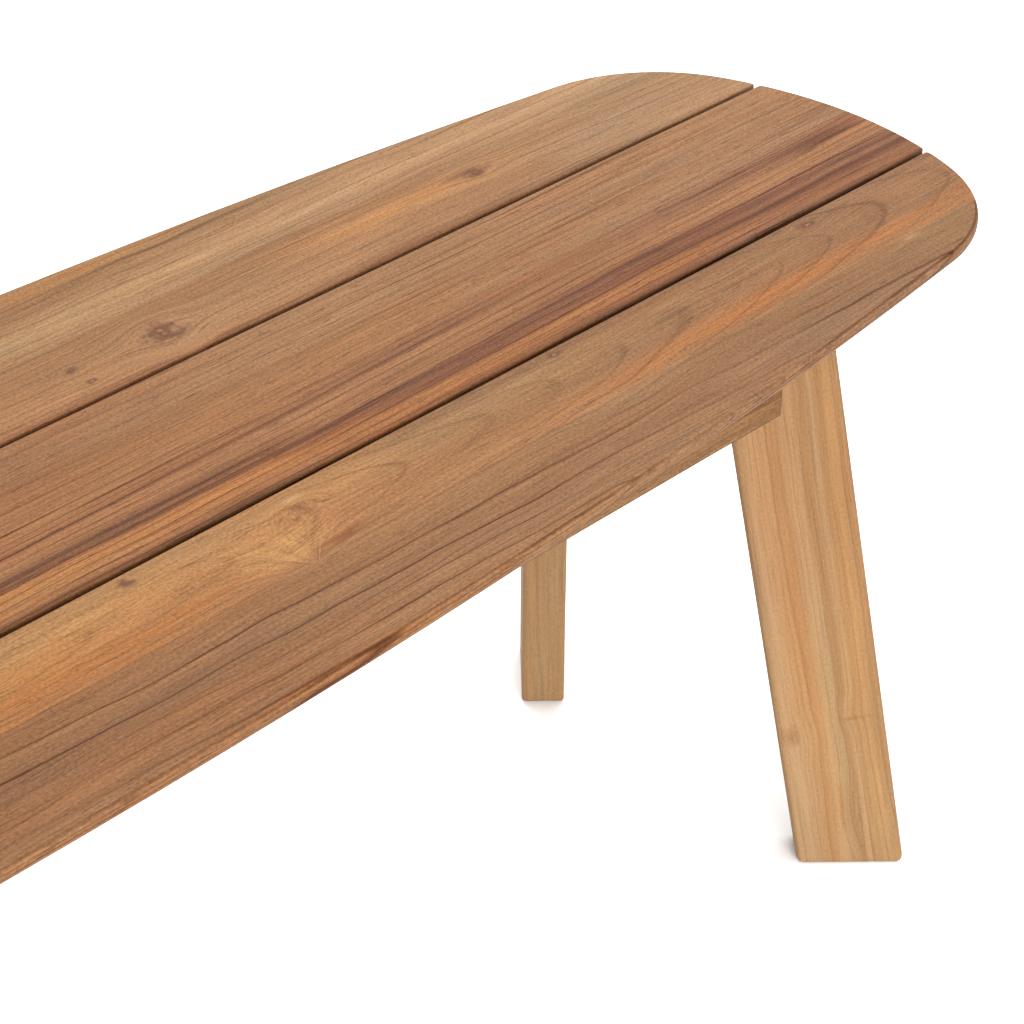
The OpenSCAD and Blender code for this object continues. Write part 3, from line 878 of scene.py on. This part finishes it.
# %% [markdown]
# ## Wood for the legs and the frame
# On a leg the grain runs along the leaning board, so the pattern is turned with it: its X
# axis climbs the leg and its Y axis crosses the wide face. The same is done for the rails and
# battens. Without the turn, the growth lines would cut across the board like a section.


# %% Turned woods
def turn_of(along, across):
    """The rotation whose X axis is along the grain and whose Y axis crosses the wide face."""
    along, across = Vector(along).normalized(), Vector(across).normalized()
    return Matrix((along, across, along.cross(across))).transposed().to_euler()


LEG_BANDS = [(0.0, (188, 148, 112)), (0.05, (194, 154, 118)), (0.15, (206, 166, 130)),
             (0.30, (202, 156, 116)), (0.42, (196, 148, 108)), (0.50, (206, 164, 124)),
             (0.60, (198, 158, 120)), (0.68, (184, 142, 104)), (0.74, (202, 164, 128)),
             (0.80, (190, 148, 108)), (0.88, (204, 160, 118)), (1.0, (188, 146, 108))]
# Painted light: the foot of each leg is paler and whiter, as lit from the white floor
FOOT_PAINTED_LIGHT = (1.05, 1.08, 1.09)
PAINTED_LIGHT_FOOT_BANDS = [(place, tuple(c * more for c, more in zip(colour, FOOT_PAINTED_LIGHT)))
              for place, colour in LEG_BANDS]
for number, (node, leg) in enumerate(legs.items()):
    away = Vector((1 if "right" in node else -1, 1 if "rear" in node else -1, 0)).normalized()
    up = Vector((0, 0, 1))
    along = up * math.cos(LEG_LEAN) - away * math.sin(LEG_LEAN)
    across = away * math.cos(LEG_LEAN) + up * math.sin(LEG_LEAN)
    corner = Vector((frame_x * (1 if "right" in node else -1),
                     frame_y * (1 if "rear" in node else -1), 0))
    foot_reach = LEG_PROUD + leg_top * math.tan(LEG_LEAN) - LEG_WIDTH / math.cos(LEG_LEAN) / 2
    # Near the floor the leg takes the foot bands, with their painted light
    leg.data.materials.append(
        teak("teak_" + node, corner + away * foot_reach, turn_of(along, across), LEG_WIDTH,
             palettes=[(0.02, PAINTED_LIGHT_FOOT_BANDS), (0.36, LEG_BANDS)], pith=(0.070, -0.050),
             tilt=(0.02, 0.01), spacing=7 * MM, thin=0.12, line_strength=0.33, wander=5 * MM,
             shake=2.5 * MM, seed=31.7 + 5.3 * number, pores=0.10, mottle=0.09, streaks=0.25,
             coarse=0.45,
             features=[("swell", 0.125, 0.012, 0.022, 0.016, 3 * MM),
                       ("swell", 0.110, -0.014, 0.030, 0.014, -3 * MM),
                       ("swell", 0.045, 0.004, 0.045, 0.010, 4 * MM)],
             patches=[(0.26, 0.0100, 0.22, 0.0035, (180, 138, 98), 0.45),
                      (0.24, -0.0080, 0.16, 0.0060, (204, 150, 102), 0.45),
                      (0.045, 0.0040, 0.030, 0.0040, (206, 146, 90), 0.6),
                      (0.112, -0.0250, 0.014, 0.0060, (168, 120, 82), 0.5),
                      (0.120, 0.0180, 0.003, 0.0140, (170, 128, 88), 0.5)]))

# Painted shade: the rail colour darkens towards the rail's top, under the seat
RAIL_PAINTED_SHADE_BANDS = [(0.0, (168, 128, 94)), (0.4, (162, 122, 88)), (1.0, (156, 116, 84))]
for number, (node, rail) in enumerate(rails.items()):
    low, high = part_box(node)
    along = (1, 0, 0) if node in ("rail_front", "rail_rear") else (0, 1, 0)
    # The rail bands carry painted shade towards the top, under the seat
    rail.data.materials.append(
        teak("teak_" + node, (low + high) / 2, turn_of(along, (0, 0, 1)), high.z - low.z,
             palettes=[(0.1, RAIL_PAINTED_SHADE_BANDS)], pith=(0.12, -0.05), tilt=(0.01, 0.0), spacing=8 * MM,
             line_strength=0.45, seed=61.2 + 3.9 * number))

BATTEN_BANDS = [(0.0, (166, 122, 88)), (0.5, (176, 134, 98)), (1.0, (164, 120, 86))]
for number, (node, batten) in enumerate(battens.items()):
    low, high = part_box(node)
    batten.data.materials.append(
        teak("teak_" + node, (low + high) / 2, turn_of((0, 1, 0), (-1, 0, 0)), high.x - low.x,
             palettes=[(0.1, BATTEN_BANDS)], pith=(0.10, -0.05), spacing=7 * MM,
             line_strength=0.45, seed=83.3 + 4.7 * number))
for number, (node, block) in enumerate(blocks.items()):
    low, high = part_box(node)
    block.data.materials.append(
        teak("teak_" + node, (low + high) / 2, turn_of((0, 0, 1), (1, 0, 0)), high.x - low.x,
             palettes=[(0.1, BATTEN_BANDS)], pith=(0.05, -0.04), spacing=6 * MM,
             line_strength=0.45, seed=107.9 + 6.1 * number))


# %% [markdown]
# ## Metal and dowel wood
# Stainless screws and bolts are brushed by rolling, so their shine is blurred a little along
# noise. Brass is the same with a warm colour. Dowels are pale beech with fine flecks.

# %% Metals and dowel wood
def metal(name, colour, dull):
    """A metal with fine scratches in its colour, its shine and its surface."""
    g = Graph(name)
    coordinates = g.nodes.new("ShaderNodeTexCoord").outputs["Object"]
    scratch = g.noise(coordinates, (900, 900, 2500), 3.0, 0.6)
    light = g.math("MULTIPLY_ADD", scratch, 0.06, 1.0)
    g.put(g.shader.inputs["Base Color"],
          g.mix(1.0, colour, g.combine(light, light, light), "MULTIPLY"))
    g.shader.inputs["Metallic"].default_value = 1.0
    g.put(g.shader.inputs["Roughness"], g.math("MULTIPLY_ADD", scratch, 0.08, dull))
    bump = g.nodes.new("ShaderNodeBump")
    bump.inputs["Strength"].default_value = 0.3
    bump.inputs["Distance"].default_value = 0.02 * MM
    g.put(bump.inputs["Height"], scratch)
    g.put(g.shader.inputs["Normal"], bump.outputs[0])
    return g.material


stainless = metal("stainless", (0.56, 0.55, 0.53, 1), 0.34)
brass = metal("brass", (0.72, 0.52, 0.24, 1), 0.38)
beech = teak("dowel_beech", (0, 0, 0), (0, 0, 0), 1.0,
             palettes=[(0.1, [(0.0, (206, 172, 130)), (1.0, (212, 178, 136))])], spacing=3 * MM,
             line_strength=0.2, seed=140.0)


def dress(node, material):
    """Gives a CAD node that stays as it is a finish of its own."""
    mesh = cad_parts[node].data
    mesh.materials.clear()
    mesh.materials.append(material)


for fastener in fasteners:
    fastener.data.materials.append(stainless)
dress("leg_inserts", brass)
dress("rail_dowels", beech)
print(len(fasteners), "sets of steel fasteners, brass inserts and beech dowels")

# %% [markdown]
# ## Floor and light
# The bench stands on a plain white floor under a white surround, as in a studio. A large
# soft lamp overhead lights the top, and a second from the front keeps the legs bright. Large
# lamps give soft shadows that fade close to the feet.

# %% Floor
floor_mesh = bpy.data.meshes.new("floor")
bm = bmesh.new()
bmesh.ops.create_grid(bm, x_segments=1, y_segments=1, size=30)
bm.to_mesh(floor_mesh)
bm.free()
floor = bpy.data.objects.new("floor", floor_mesh)
floor.location.z = -0.3 * MM
bpy.context.scene.collection.objects.link(floor)
g = Graph("floor_white")
g.shader.inputs["Base Color"].default_value = (0.9, 0.9, 0.9, 1)
g.shader.inputs["Roughness"].default_value = 0.9
floor_mesh.materials.append(g.material)
floor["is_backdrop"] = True
print("floor at", round(floor.location.z / MM, 2), "mm")

# %% Surround and lamps
world = bpy.data.worlds.new("surround")
world.use_nodes = True
world.node_tree.nodes["Background"].inputs["Color"].default_value = (1, 1, 1, 1)
world.node_tree.nodes["Background"].inputs["Strength"].default_value = 1.25
bpy.context.scene.world = world
bpy.context.scene.view_settings.view_transform = "Standard"


def lamp(name, place, aim, size, watts):
    """A large round lamp that points from its place to its aim."""
    data = bpy.data.lights.new(name, "AREA")
    data.shape = "DISK"
    data.size = size
    data.energy = watts
    lamp_object = bpy.data.objects.new(name, data)
    lamp_object.location = place
    lamp_object.rotation_euler = (Vector(aim) - Vector(place)).to_track_quat("-Z", "Y").to_euler()
    bpy.context.scene.collection.objects.link(lamp_object)
    print("lamp", name, watts, "W")


lamp("overhead", (0.9, 0.3, 3.4), (0.5, 0, 0.3), 3.2, 120)
lamp("front", (-1.9, -4.6, 1.7), (0.4, 0, 0.3), 3.4, 380)

# %% [markdown]
# ## The size of the finished bench
# Rounded edges only take wood away, so the finished bench fills the imported model's box to
# within a hundredth of a millimetre. The box of the finished bench is printed.

# %% The box of the finished bench
low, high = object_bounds()
print("visual box", [round(c, 4) for c in low], [round(c, 4) for c in high])
